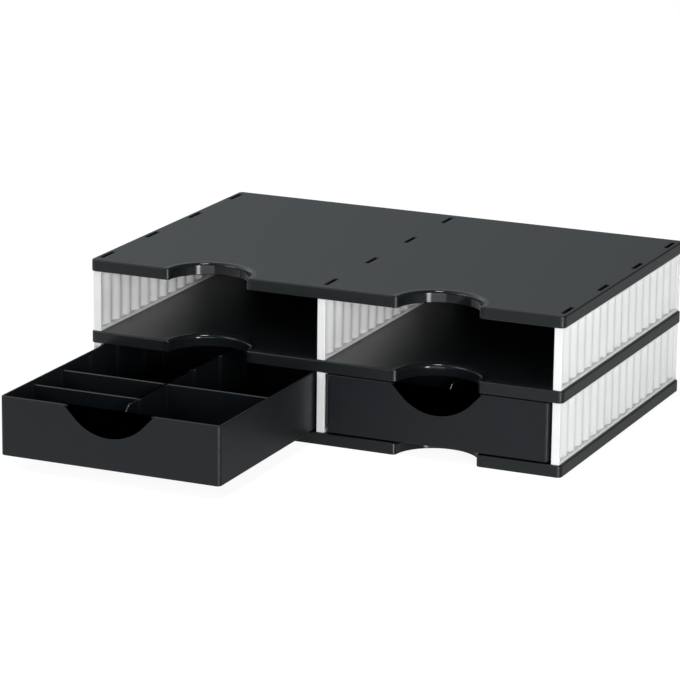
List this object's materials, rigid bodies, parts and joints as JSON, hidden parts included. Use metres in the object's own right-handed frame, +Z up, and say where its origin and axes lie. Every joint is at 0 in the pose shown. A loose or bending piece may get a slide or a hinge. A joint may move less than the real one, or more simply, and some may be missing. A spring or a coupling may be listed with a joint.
{
  "type": "document sorting station",
  "caption": "Low desk station of moulded plates on corrugated walls: open document compartments above, divided pull-out drawers below.",
  "frame": {"origin": "on the desk, under the middle of the bottom plate", "axes": "+Z up, +X to the user's right, -Y to the front, where the drawers open"},
  "size_m": [0.485, 0.531, 0.153],
  "materials": {
    "black_plate": "satin",
    "white_wall": "satin",
    "black_panel": "satin",
    "black_drawer": "satin",
    "black_divider": "satin"
  },
  "bodies": {
    "carcass": {"bottom_plate": "black_plate", "middle_plate": "black_plate", "top_plate": "black_plate", "lower_left_wall": "white_wall", "lower_centre_wall": "white_wall", "lower_right_wall": "white_wall", "upper_left_wall": "white_wall", "upper_centre_wall": "white_wall", "upper_right_wall": "white_wall", "lower_left_back_panel": "black_panel", "lower_right_back_panel": "black_panel", "upper_left_back_panel": "black_panel", "upper_right_back_panel": "black_panel"},
    "left_drawer_unit": {"left_drawer": "black_drawer", "left_drawer_long_divider": "black_divider", "left_drawer_front_divider": "black_divider", "left_drawer_middle_divider": "black_divider", "left_drawer_side_divider": "black_divider"},
    "right_drawer_unit": {"right_drawer": "black_drawer", "right_drawer_long_divider": "black_divider", "right_drawer_front_divider": "black_divider", "right_drawer_middle_divider": "black_divider", "right_drawer_side_divider": "black_divider"}
  },
  "joints": [
    {"name": "left_drawer_slide", "type": "slide", "parent": "carcass", "child": "left_drawer_unit", "axis": [0, -1, 0], "range_m": [-0.2, 0.04]},
    {"name": "right_drawer_slide", "type": "slide", "parent": "carcass", "child": "right_drawer_unit", "axis": [0, -1, 0], "range_m": [0, 0.24]}
  ]
}
